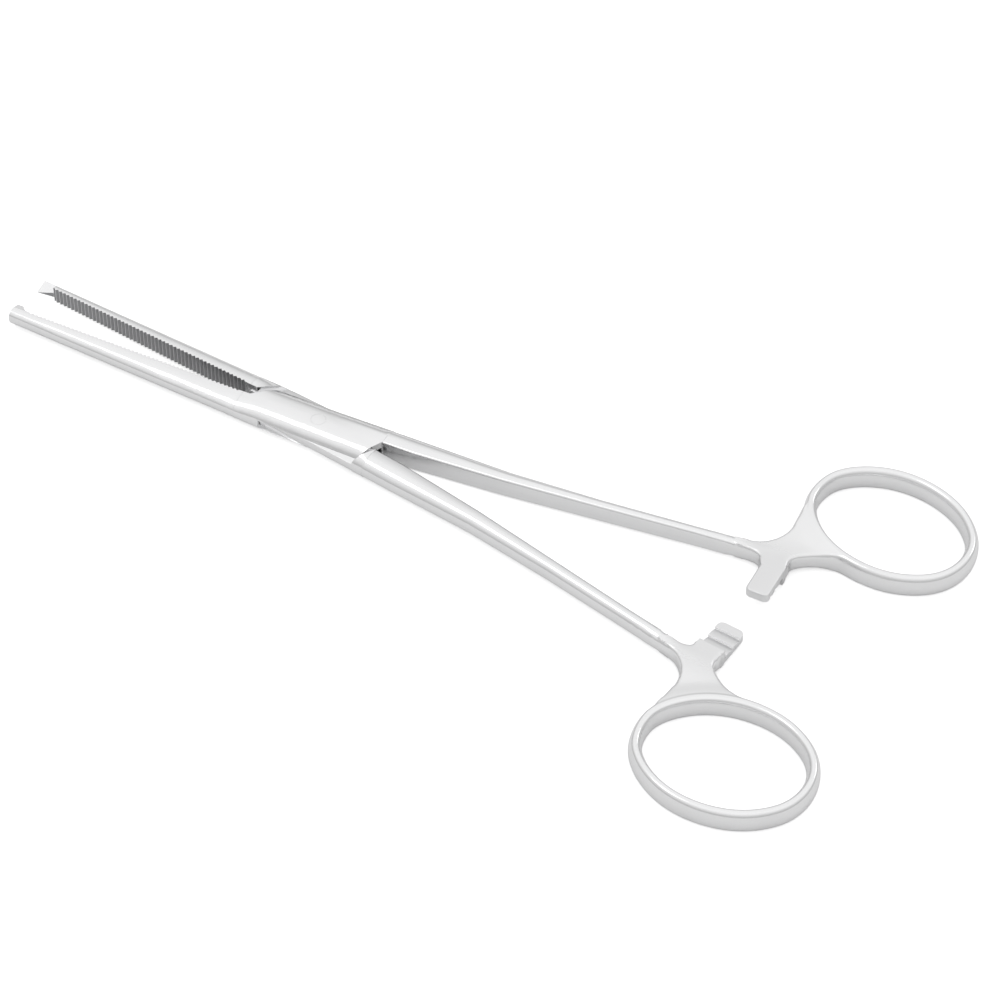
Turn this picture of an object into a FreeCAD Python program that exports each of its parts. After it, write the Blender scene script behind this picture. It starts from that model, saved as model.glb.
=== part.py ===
import FreeCAD, Part
import math
import os

# Overall size and frame
PIVOT_HEIGHT = 2.5
PHOTO_HALF_OPENING = 3.3
HALF_HEIGHT_BOX = 2.5
LEVEL_PLAY = 0.000001

# Jaws
JAW_TIP = -71.3
MALE_JAW_TIP = -71.1
JAW_ROOT = -17.0
FACE_UPPER = 0.45
FACE_LOWER = 0.0
FACE_STOCK = 0.45
JAW_OUTER_TIP = 2.2
JAW_OUTER_ROOT = 4.55
JAW_HALF_HEIGHT_TIP = 1.72
JAW_HALF_HEIGHT_ROOT = 2.38
JAW_BACK_SHARE = 0.8
JAW_EDGE = 0.18

# Serrations across the jaw faces
SERRATION_COUNT = 52
SERRATION_PITCH = 0.955
SERRATION_DEPTH = 0.34
SERRATION_LAND = 0.14
SERRATION_END = -18.4

# One tooth closing between two
TOOTH_HALF_ANGLE = 23.0
MALE_TOOTH_REACH = 0.85
MALE_TOOTH_LENGTH = 3.3
FEMALE_TOOTH_REACH = 1.5
FEMALE_TOOTH_LENGTH = 3.0
NOTCH_FLOOR = 1.85
NOTCH_LENGTH = 3.3
TOOTH_FLANK = 0.3
TOOTH_OVERSHOOT = 0.2
FEMALE_CREST = ((0.0, -0.9), (0.75, 0.0), (1.7, -0.65))

# Box lock
BOX_END = 14.2
BOX_PROUD = 0.05
BOX_WAIST = -9.0
BOX_MIDDLE = 2.0
JOIN = 0.5
BOX_BACK_ROUND = 3.2
SHOULDER_LEFT = (-15.6, -10.3)
SHOULDER_RIGHT = (13.95, 11.4)
SHOULDER_SPAN = 5.0
SHOULDER_GAP = 0.2
CENTRE_GAP = 0.2
TONGUE_THICKNESS = 1.8
TONGUE_PLAY = 0.05
TONGUE_RADIUS = 12.0
SLOT_PLAY = 0.2
REACH = 9.0

# Pivot pin
PIN_RADIUS = 1.5
PIN_RUNNING_FIT = 0.03

# Right side of the ratchet arm, where the whole handle hangs
ARM_RIGHT = 97.5

# Shank, one row for each station: position, centre, half width, half height
SHANK_START_INNER = 0.25
SHANK_OUTER_LEFT = 4.7
SHANK_OUTER_MIDDLE = 5.0
SHANK_OUTER_RIGHT = 5.4
SHANK = (
    (20.7, 3.05, 2.55, 2.35),
    (39.8, 4.16, 1.86, 2.20),
    (59.0, 6.21, 1.48, 2.05),
    (ARM_RIGHT - 19.3, 8.59, 1.36, 2.00),
    (ARM_RIGHT - 4.0, 10.45, 1.50, 2.00),
)
SHANK_BACK_SHARE = 0.62
SHANK_EDGE_START = 0.3
SHANK_EDGE_END = 0.75

# Finger ring
RING_CENTRE = (ARM_RIGHT + 8.53, 28.06)
RING_TURN = -10.64
RING_LONG = 16.2
RING_WIDE = 10.53
RING_EGG = 0.818
RING_SHIFT = 4.69
RING_HALF_WIDTH = 1.25
RING_CROWN = 0.85
RING_ANGLES = (0, 50, 105, 138, 222, 255, 310)

# Web between shank, ring and ratchet arm, its plan measured from the arm's right side
WEB_HALF_HEIGHT = 1.9
WEB_END = 6.0
WEB_SHANK_HIGH = (-11.5, 10.4)
WEB_OUTER_ARC = ((-7.9, 11.2), (-4.6, 13.3), (-3.2, 16.8))
WEB_HEEL = ((-3.8, 23.6), (-3.7, 27.2))
WEB_INNER_ARC = ((-2.6, 27.2), (4.0, 19.7), (12.8, 15.1))
WEB_LOWER_ARC = ((12.8, 13.7), (5.5, 12.4), (0.0, 8.0))
WEB_ARM_ARC = ((-6.2, 7.9), (-7.9, 8.6))
WEB_SHANK_LOW = (-11.5, 8.2)

# Ratchet
ARM_WIDTH_UPPER = 4.7
ARM_WIDTH_LOWER = 5.5
ARM_ROOT = 9.0
ARM_REACH_UPPER = 2.1
ARM_REACH_LOWER = 1.5
ARM_CORNER = 1.2
ARM_EDGE = 0.35
ARM_GAP = 0.06
RATCHET_TEETH = 3
RATCHET_PITCH = 2.45
RATCHET_LAND = 0.95
RATCHET_DEPTH = 0.55
RATCHET_START = 0.9


def vec(x, y, z=0.0):
    return FreeCAD.Vector(x, y, z)


def blend(a, b, t):
    return a + (b - a) * t


def prism(points, bottom, top):
    """A plan outline of straight lines raised from bottom to top."""
    corners = [vec(x, y, bottom) for x, y in points]
    face = Part.Face(Part.makePolygon(corners + corners[:1]))
    return face.extrude(vec(0, 0, top - bottom))


def prism_along_x(points, start, end):
    """An outline in the cross plane carried from start to end."""
    corners = [vec(start, y, z) for y, z in points]
    face = Part.Face(Part.makePolygon(corners + corners[:1]))
    return face.extrude(vec(end - start, 0, 0))


def quarter(start, corner, end):
    """A quarter of an ellipse inside the corner of its box."""
    curve = Part.BSplineCurve()
    weights = [1.0, math.sqrt(0.5), 1.0]
    curve.buildFromPolesMultsKnots([start, corner, end], [3, 3], [0, 1], False, 2, weights)
    return curve.toShape()


def section(x, low, high, height, low_round, high_round):
    """A closed cross section between two sides, each with its own rounding."""
    low_y, low_z = low_round
    high_y, high_z = high_round
    pts = [
        vec(x, low, height - low_z),
        vec(x, low + low_y, height),
        vec(x, high - high_y, height),
        vec(x, high, height - high_z),
    ]
    mirrored = [vec(p.x, p.y, -p.z) for p in pts]
    edges = [quarter(pts[0], vec(x, low, height), pts[1])]
    edges.append(Part.makeLine(pts[1], pts[2]))
    edges.append(quarter(pts[2], vec(x, high, height), pts[3]))
    edges.append(Part.makeLine(pts[3], mirrored[3]))
    edges.append(quarter(mirrored[3], vec(x, high, -height), mirrored[2]))
    edges.append(Part.makeLine(mirrored[2], mirrored[1]))
    edges.append(quarter(mirrored[1], vec(x, low, -height), mirrored[0]))
    edges.append(Part.makeLine(mirrored[0], pts[0]))
    return Part.Wire(edges)


def jaw_share(x):
    return (x - JAW_TIP) / (JAW_ROOT - JAW_TIP)


def jaw_outer(x):
    return blend(JAW_OUTER_TIP, JAW_OUTER_ROOT, jaw_share(x))


def jaw_height(x):
    return blend(JAW_HALF_HEIGHT_TIP, JAW_HALF_HEIGHT_ROOT, jaw_share(x))


def jaw_back(x):
    width = jaw_outer(x) - FACE_UPPER
    return (JAW_BACK_SHARE * width, jaw_height(x) - JAW_EDGE)


def jaw(tip, face, phase):
    """A tapering bar with its back rounded and its face cut across."""
    wires = []
    for x in (tip, JAW_ROOT + JOIN):
        edge = (JAW_EDGE, JAW_EDGE)
        wires.append(section(x, -jaw_outer(x), FACE_STOCK - face, jaw_height(x), jaw_back(x), edge))
    return Part.makeLoft(wires, True, True).cut(serration_comb(face, phase))


def serration_comb(face, phase):
    """Everything above one jaw face, with a ridge for every groove."""
    half_mouth = (SERRATION_PITCH - SERRATION_LAND) / 2
    right = JAW_ROOT + 2 * JOIN
    above = [(right, -face), (right, REACH), (JAW_TIP - REACH, REACH)]
    points = [(JAW_TIP - REACH, -face)]
    for i in range(SERRATION_COUNT):
        x = SERRATION_END - (SERRATION_COUNT - 1 - i + phase) * SERRATION_PITCH
        points.append((x - half_mouth, -face))
        points.append((x, -face - SERRATION_DEPTH))
        points.append((x + half_mouth, -face))
    return prism(points + above, -HALF_HEIGHT_BOX, HALF_HEIGHT_BOX)


def box_blank():
    """The closed outline of the joint, before slot and shoulders are cut."""
    rows = (
        (JAW_ROOT, SHANK_OUTER_LEFT, JAW_HALF_HEIGHT_ROOT + BOX_PROUD),
        (BOX_WAIST, blend(SHANK_OUTER_LEFT, SHANK_OUTER_MIDDLE, 0.5), HALF_HEIGHT_BOX),
        (BOX_MIDDLE, SHANK_OUTER_MIDDLE, HALF_HEIGHT_BOX),
        (BOX_END, SHANK_OUTER_RIGHT, HALF_HEIGHT_BOX),
    )
    wires = []
    for x, outer, height in rows:
        near = jaw_outer(min(x, BOX_WAIST)) + BOX_PROUD
        low_round = (BOX_BACK_ROUND, height - JAW_EDGE)
        wires.append(section(x, -near, outer, height, low_round, low_round))
    return Part.makeLoft(wires, True, True)


def shank():
    first = (BOX_END - JOIN, (SHANK_OUTER_RIGHT + SHANK_START_INNER) / 2,
             (SHANK_OUTER_RIGHT - SHANK_START_INNER) / 2 - BOX_PROUD, HALF_HEIGHT_BOX - 2 * BOX_PROUD)
    rows = (first,) + SHANK
    wires = []
    for i, (x, centre, half, height) in enumerate(rows):
        share = i / (len(rows) - 1)
        edge = blend(SHANK_EDGE_START, SHANK_EDGE_END, share)
        back = (2 * half * SHANK_BACK_SHARE, height - JAW_EDGE)
        wires.append(section(x, centre - half, centre + half, height, (edge, edge), back))
    return Part.makeLoft(wires, True, True)


def shoulder_x(ends, y):
    return blend(ends[0], ends[1], y / SHOULDER_SPAN)


def female_slot():
    half = TONGUE_THICKNESS / 2 + TONGUE_PLAY
    wide = 2 * REACH
    disc = Part.makeCylinder(TONGUE_RADIUS + SLOT_PLAY, 2 * half, vec(0, 0, -half))
    left = prism([(-wide, -CENTRE_GAP), (0, -CENTRE_GAP), (0, REACH), (-wide, REACH)], -half, half)
    right = prism([(0, -REACH), (wide, -REACH), (wide, CENTRE_GAP), (0, CENTRE_GAP)], -half, half)
    return disc.fuse([left, right])


def female_joint_cuts():
    """Slot, pin hole and the two oblique ends of the box walls."""
    top = 2 * HALF_HEIGHT_BOX
    left = [(JAW_ROOT - JOIN, -FACE_LOWER), (shoulder_x(SHOULDER_LEFT, -FACE_LOWER), -FACE_LOWER),
            (shoulder_x(SHOULDER_LEFT, REACH), REACH), (JAW_ROOT - JOIN, REACH)]
    right = [(shoulder_x(SHOULDER_RIGHT, REACH), -REACH), (BOX_END + JOIN, -REACH),
             (BOX_END + JOIN, SHANK_START_INNER),
             (shoulder_x(SHOULDER_RIGHT, -SHANK_START_INNER), SHANK_START_INNER)]
    hole = Part.makeCylinder(PIN_RADIUS, 2 * top, vec(0, 0, -top))
    return [prism(left, -top, top), prism(right, -top, top), female_slot(), hole]


def male_joint_cuts():
    """Room for the box walls on both faces, and the outline of the tongue."""
    top = 2 * HALF_HEIGHT_BOX
    gap = SHOULDER_GAP * math.sqrt(2)
    room = [(shoulder_x(SHOULDER_LEFT, REACH) - gap, -REACH),
            (shoulder_x(SHOULDER_LEFT, FACE_UPPER) - gap, -FACE_UPPER),
            (JAW_ROOT - JOIN, -FACE_UPPER),
            (JAW_ROOT - JOIN, REACH),
            (shoulder_x(SHOULDER_RIGHT, REACH) + gap, REACH),
            (shoulder_x(SHOULDER_RIGHT, SHANK_START_INNER) + gap, SHANK_START_INNER),
            (BOX_END + JOIN, SHANK_START_INNER),
            (BOX_END + JOIN, -REACH)]
    half = TONGUE_THICKNESS / 2
    disc = Part.makeCylinder(TONGUE_RADIUS, 2 * top, vec(0, 0, -top))
    left = prism([(JAW_ROOT - JOIN, -CENTRE_GAP), (0, -CENTRE_GAP), (0, REACH),
                  (JAW_ROOT - JOIN, REACH)], -top, top)
    right = prism([(0, -REACH), (BOX_END + JOIN, -REACH), (BOX_END + JOIN, CENTRE_GAP),
                   (0, CENTRE_GAP)], -top, top)
    hole = Part.makeCylinder(PIN_RADIUS + PIN_RUNNING_FIT, 2 * top, vec(0, 0, -top))
    return [prism(room, half, top), prism(room, -top, -half), left.cut(disc), right.cut(disc), hole]


def ring_point(angle):
    """A point of the egg-shaped ring centre line and the direction there."""
    a = math.radians(angle)
    x = RING_LONG * math.cos(a) + RING_SHIFT * math.cos(2 * a)
    y = RING_WIDE * math.sin(a) * (1 + RING_EGG * math.cos(a))
    dx = -RING_LONG * math.sin(a) - 2 * RING_SHIFT * math.sin(2 * a)
    dy = RING_WIDE * (math.cos(a) + RING_EGG * math.cos(2 * a))
    spin = FreeCAD.Rotation(vec(0, 0, 1), RING_TURN)
    return vec(*RING_CENTRE) + spin.multVec(vec(x, y)), spin.multVec(vec(dx, dy)).normalize()


def arc_centre(start, along, end):
    side = vec(-along.y, along.x)
    chord = end - start
    return start + side * (chord.dot(chord) / (2 * side.dot(chord)))


def ring_arcs():
    """Two tangent arcs between each pair of neighbouring points."""
    arcs = []
    for i, angle in enumerate(RING_ANGLES):
        p0, t0 = ring_point(angle)
        p1, t1 = ring_point(RING_ANGLES[(i + 1) % len(RING_ANGLES)])
        chord = p1 - p0
        total = chord.dot(t0 + t1)
        bend = 2 * (1 - t0.dot(t1))
        reach = (math.sqrt(total * total + bend * chord.dot(chord)) - total) / bend
        joint = (p0 + p1 + (t0 - t1) * reach) * 0.5
        arcs.append((p0, t0, joint, arc_centre(p0, t0, joint)))
        centre = arc_centre(p1, t1, joint)
        spoke = (joint - centre).normalize()
        arcs.append((joint, vec(-spoke.y, spoke.x), p1, centre))
    return arcs


def upright_oval(start, spoke):
    """Four tangent arcs, tight over top and bottom and flat at the sides."""
    lift = HALF_HEIGHT_BOX - RING_CROWN
    spare = RING_HALF_WIDTH - RING_CROWN
    flat = (spare * (RING_HALF_WIDTH + RING_CROWN) + lift * lift) / (2 * spare)
    setback = flat - RING_HALF_WIDTH
    slant = math.hypot(setback, lift)
    side = flat * setback / slant - setback
    rise = flat * lift / slant
    turns = ((side, -rise), (RING_HALF_WIDTH, 0), (side, rise), (0, HALF_HEIGHT_BOX),
             (-side, rise), (-RING_HALF_WIDTH, 0), (-side, -rise), (0, -HALF_HEIGHT_BOX), (side, -rise))
    knots = [start + spoke * out + vec(0, 0, up) for out, up in turns]
    edges = [Part.Arc(*knots[i:i + 3]).toShape() for i in range(0, len(knots) - 1, 2)]
    return Part.Face(Part.Wire(edges))


def finger_ring():
    """An upright oval carried round the chain of arcs."""
    pieces = []
    for start, along, end, centre in ring_arcs():
        face = upright_oval(start, (start - centre).normalize())
        first = math.atan2(start.y - centre.y, start.x - centre.x)
        last = math.atan2(end.y - centre.y, end.x - centre.x)
        sweep = math.degrees(last - first) % 360
        pieces.append(face.revolve(centre, vec(0, 0, 1), sweep))
    return pieces[0].fuse(pieces[1:]).removeSplitter()


def arc(start, middle, end):
    return Part.Arc(vec(*start), vec(*middle), vec(*end)).toShape()


def line(start, end):
    return Part.makeLine(vec(*start), vec(*end))


def soften(solid, radius, keep_bottom=False):
    """Round the level edges of a flat plate."""
    top = max(e.BoundBox.ZMax for e in solid.Edges)
    bottom = min(e.BoundBox.ZMin for e in solid.Edges)
    edges = []
    for edge in solid.Edges:
        level = edge.BoundBox.ZMax - edge.BoundBox.ZMin < LEVEL_PLAY
        at_top = abs(edge.BoundBox.ZMax - top) < LEVEL_PLAY
        at_bottom = abs(edge.BoundBox.ZMin - bottom) < LEVEL_PLAY
        if level and (at_top or (at_bottom and not keep_bottom)):
            edges.append(edge)
    return solid.makeFillet(radius, edges)


def from_arm(points):
    return [(ARM_RIGHT + x, y) for x, y in points]


def web(arm_left):
    """The flat junction of shank, ring and arm, with hollow sides."""
    shank_high, shank_low = from_arm((WEB_SHANK_HIGH, WEB_SHANK_LOW))
    outer = from_arm(WEB_OUTER_ARC)
    heel = from_arm(WEB_HEEL)
    inner = from_arm(WEB_INNER_ARC)
    lower = from_arm(WEB_LOWER_ARC)
    beside_arm, on_shank = from_arm(WEB_ARM_ARC)
    edges = [
        line(shank_high, outer[0]),
        arc(*outer),
        line(outer[2], heel[0]),
        line(heel[0], heel[1]),
        line(heel[1], inner[0]),
        arc(*inner),
        line(inner[2], lower[0]),
        arc(*lower),
        line(lower[2], (ARM_RIGHT, WEB_END)),
        line((ARM_RIGHT, WEB_END), (arm_left, WEB_END)),
        arc((arm_left, WEB_END), beside_arm, on_shank),
        line(on_shank, shank_low),
        line(shank_low, shank_high),
    ]
    plate = Part.Face(Part.Wire(edges)).extrude(vec(0, 0, 2 * WEB_HALF_HEIGHT))
    plate.translate(vec(0, 0, -WEB_HALF_HEIGHT))
    return plate


def ratchet_arm(arm_left, reach):
    """One arm, teeth on its lower face, upper face plain."""
    height = WEB_HALF_HEIGHT - ARM_GAP
    mid = (arm_left + ARM_RIGHT) / 2
    bend = ARM_CORNER * (1 - math.sqrt(0.5))
    edges = [
        line((arm_left, ARM_ROOT), (arm_left, ARM_CORNER - reach)),
        arc((arm_left, ARM_CORNER - reach), (arm_left + bend, bend - reach),
            (arm_left + ARM_CORNER, -reach)),
        line((arm_left + ARM_CORNER, -reach), (ARM_RIGHT - ARM_CORNER, -reach)),
        arc((ARM_RIGHT - ARM_CORNER, -reach), (ARM_RIGHT - bend, bend - reach),
            (ARM_RIGHT, ARM_CORNER - reach)),
        line((ARM_RIGHT, ARM_CORNER - reach), (ARM_RIGHT, ARM_ROOT)),
        line((ARM_RIGHT, ARM_ROOT), (arm_left, ARM_ROOT)),
    ]
    plate = Part.Face(Part.Wire(edges)).extrude(vec(0, 0, height))
    plate.translate(vec(0, 0, ARM_GAP))
    plate = soften(plate, ARM_EDGE, True)
    grooves = []
    for i in range(RATCHET_TEETH):
        steep = RATCHET_START - reach + i * RATCHET_PITCH + RATCHET_LAND
        ramp = steep + RATCHET_PITCH - RATCHET_LAND
        points = [(steep, 0.0), (steep, ARM_GAP + RATCHET_DEPTH), (ramp, ARM_GAP), (ramp, 0.0)]
        grooves.append(prism_along_x(points, mid - REACH, mid + REACH))
    return plate.cut(grooves)


def handle(arm_left, reach):
    """Shank, web, ring and arm joined, with an open finger loop."""
    return shank().fuse([web(arm_left), finger_ring(), ratchet_arm(arm_left, reach)])


def female_teeth():
    """Two teeth side by side at the jaw tip, still joined."""
    foot = JAW_TIP + FEMALE_TOOTH_LENGTH
    crown = FEMALE_TOOTH_REACH
    low = -FACE_LOWER - SERRATION_DEPTH - JAW_EDGE
    crest = [(JAW_TIP + x, crown + y) for x, y in FEMALE_CREST]
    edges = [
        line((JAW_TIP, low), crest[0]),
        arc(*crest),
        line(crest[2], (foot, -FACE_LOWER)),
        line((foot, -FACE_LOWER), (foot, low)),
        line((foot, low), (JAW_TIP, low)),
    ]
    height = JAW_HALF_HEIGHT_TIP - JAW_EDGE
    block = Part.Face(Part.Wire(edges)).extrude(vec(0, 0, 2 * height))
    block.translate(vec(0, 0, -height))
    for side in (1, -1):
        points = [(-FACE_LOWER, side * height),
                  (crown + TOOTH_OVERSHOOT, side * (height - TOOTH_FLANK)),
                  (crown + TOOTH_OVERSHOOT, side * 2 * height),
                  (-FACE_LOWER, side * 2 * height)]
        block = block.cut(prism_along_x(points, JAW_TIP - JOIN, foot + JOIN))
    return block


def female_half():
    body = jaw(JAW_TIP, FACE_LOWER, 0.0).fuse(female_teeth())
    apex = -NOTCH_FLOOR
    far = 2 * FEMALE_TOOTH_REACH
    half = (far - apex) * math.tan(math.radians(TOOTH_HALF_ANGLE))
    vee = [(apex, 0), (far, half), (far, -half)]
    notch = prism_along_x(vee, JAW_TIP - JOIN, JAW_TIP + NOTCH_LENGTH)
    upper = handle(ARM_RIGHT - ARM_WIDTH_UPPER, ARM_REACH_UPPER)
    body = body.cut(notch).fuse([box_blank(), upper])
    return body.cut(female_joint_cuts())


def male_half():
    """Built with its jaw on the same side as the other half, then mirrored."""
    start = MALE_JAW_TIP
    foot = start + MALE_TOOTH_LENGTH
    apex = MALE_TOOTH_REACH
    slope = math.tan(math.radians(TOOTH_HALF_ANGLE))
    far = -REACH
    half = (apex - far) * slope
    tip = jaw(start, FACE_UPPER, 0.5)
    tooth = prism_along_x([(apex, 0), (far, half), (far, -half)], start, foot)
    under = prism([(start, apex), (foot, -FACE_UPPER), (foot, -REACH), (start, -REACH)], -REACH, REACH)
    over = apex + JOIN
    low = -FACE_UPPER - JOIN
    height = jaw_height(start)
    blank = prism([(start, over), (foot, over), (foot, low), (start, low)], -height, height)
    room = prism([(start - JOIN, over), (foot, over), (foot, -REACH), (start - JOIN, -REACH)], -REACH, REACH)
    nose = tip.fuse(blank).common(tooth).common(under)
    body = tip.cut(room).fuse(nose)
    lower = handle(ARM_RIGHT - ARM_WIDTH_LOWER, ARM_REACH_LOWER).mirror(vec(0, 0), vec(0, 0, 1))
    body = body.fuse([box_blank(), lower]).cut(male_joint_cuts())
    return body.mirror(vec(0, 0), vec(0, 1, 0))


def pivot_pin():
    height = 2 * HALF_HEIGHT_BOX
    return Part.makeCylinder(PIN_RADIUS, height, vec(0, 0, -HALF_HEIGHT_BOX))


def place(shape, turn):
    shape.rotate(vec(0, 0), vec(0, 0, 1), turn)
    shape.translate(vec(0, 0, PIVOT_HEIGHT))
    return shape


def solid_of(shape):
    return shape.removeSplitter().Solids[0]


def main():
    os.makedirs("parts", exist_ok=True)
    pieces = {
        "box_half": place(solid_of(female_half()), PHOTO_HALF_OPENING),
        "tongue_half": place(solid_of(male_half()), -PHOTO_HALF_OPENING),
        "pivot_pin": place(pivot_pin(), PHOTO_HALF_OPENING),
    }
    for name, shape in pieces.items():
        shape.exportStep("parts/" + name + ".step")


main()
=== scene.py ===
"""Looks of a straight locking forceps with a box lock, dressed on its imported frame."""
import logging
import math
from dataclasses import dataclass, field, replace
from enum import Enum
from typing import Any, Iterable, Sequence

import bmesh
import bpy
from mathutils import Matrix, Vector
from mathutils.kdtree import KDTree


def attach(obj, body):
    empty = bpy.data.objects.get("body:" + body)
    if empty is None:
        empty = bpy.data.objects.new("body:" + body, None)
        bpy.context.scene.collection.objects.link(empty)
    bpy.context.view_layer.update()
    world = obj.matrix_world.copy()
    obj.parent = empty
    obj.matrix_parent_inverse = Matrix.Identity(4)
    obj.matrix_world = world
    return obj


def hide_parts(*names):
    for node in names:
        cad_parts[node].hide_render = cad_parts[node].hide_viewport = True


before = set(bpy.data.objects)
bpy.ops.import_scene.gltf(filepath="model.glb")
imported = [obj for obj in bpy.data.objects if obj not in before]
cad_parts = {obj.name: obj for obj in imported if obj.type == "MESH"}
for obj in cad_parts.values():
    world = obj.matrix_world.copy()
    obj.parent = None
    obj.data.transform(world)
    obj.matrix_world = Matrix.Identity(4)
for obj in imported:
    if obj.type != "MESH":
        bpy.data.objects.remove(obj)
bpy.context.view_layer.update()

LOG = logging.getLogger("forceps")
MM = 0.001
UP = (0.0, 0.0, 1.0)

# Layers that the meshes carry for the materials
SATIN_LAYER = "satin"
CROWN_LAYER = "crown"

# How steeply the domed faces lean at their edges
CROWN = 0.34

# What all the steels share
GRAIN_ENDS = (0.3, 0.7)
GRAIN_STRENGTH = 0.25
CLOUD_SHADE = 0.93
SATIN_SHADE = 0.88
SATIN_ROUGHNESS = 0.16
SATIN_STRENGTH = 0.5
SATIN_DEPTH = 0.03 * MM
ROUNDING_SAMPLES = 6

# Places of the colour sockets of a mix node
MIX_FACTOR, MIX_FIRST, MIX_SECOND, MIX_RESULT = 0, 6, 7, 2

Point = tuple[float, float]
Triple = tuple[float, float, float]
Tree = bpy.types.NodeTree
Socket = bpy.types.NodeSocket


@dataclass(eq=False)
class HalfFacts:
    """What tells one half from the other, with lengths in its own millimetres.

    Attributes:
        node: Name of the node in the frame.
        body: The moving body that it rides on.
        side: Plus one where the finger ring lies towards +Y.
        tip: Where the ratchet arm ends in the frame.
        shown_tip: Where the ratchet arm ends in the photograph.
    """

    node: str
    body: str
    side: float
    tip: float
    shown_tip: float


class Half(HalfFacts, Enum):
    """The two crossing halves."""

    BOX = ("box_half", "box_body", 1.0, -2.1, -1.3)
    TONGUE = ("tongue_half", "tongue_body", -1.0, -1.5, -1.5)


def ramp(value: float, start: float, end: float) -> float:
    """Where a value lies between start and end, held between 0 and 1."""
    return min(1.0, max(0.0, (value - start) / (end - start)))


def add_node(tree: Tree, kind: str, *, settings: dict[str, Any] | None = None,
             values: dict[Any, Any] | None = None,
             links: dict[Any, Socket] | None = None) -> bpy.types.Node:
    """Adds one node and joins it up.

    Args:
        tree: The node tree.
        kind: The type of the node.
        settings: Its properties by name.
        values: Its fixed inputs by name or place.
        links: The sockets that feed its other inputs, by name or place.

    Returns:
        The node.
    """
    node = tree.nodes.new(kind)
    for name, value in (settings or {}).items():
        setattr(node, name, value)
    for place, value in (values or {}).items():
        node.inputs[place].default_value = value
    for place, socket in (links or {}).items():
        tree.links.new(socket, node.inputs[place])
    return node


@dataclass(frozen=True)
class Grain:
    """A stretched noise in the object's own axes.

    Attributes:
        stretch: Cells to the metre along each axis.
        detail: How many finer layers it has.
        weight: How much the finer layers count.
        turn: Its turn about the vertical, in degrees.
    """

    stretch: Triple
    detail: float
    weight: float = 0.5
    turn: float = 0.0

    def add(self, tree: Tree) -> Socket:
        """Adds the noise to a tree.

        Args:
            tree: The node tree.

        Returns:
            Its value, from 0 to 1.
        """
        place = add_node(tree, "ShaderNodeTexCoord").outputs["Object"]
        axes = {"Rotation": (0.0, 0.0, math.radians(self.turn)), "Scale": self.stretch}
        drawn = add_node(tree, "ShaderNodeMapping", values=axes, links={"Vector": place})
        look = {"Scale": 1.0, "Detail": self.detail, "Roughness": self.weight}
        noise = add_node(tree, "ShaderNodeTexNoise", values=look, links={"Vector": drawn.outputs["Vector"]})
        return noise.outputs["Fac"]


POLISH_MARKS = Grain((500.0, 4500.0, 4500.0), 6.0, 0.6)
GRINDING_MARKS = Grain((1500.0, 900.0, 900.0), 6.0, 0.6)
CLOUDS = Grain((90.0, 90.0, 90.0), 3.0)
SCRATCHES = Grain((500.0, 3800.0, 900.0), 4.0, turn=50.0)


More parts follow.
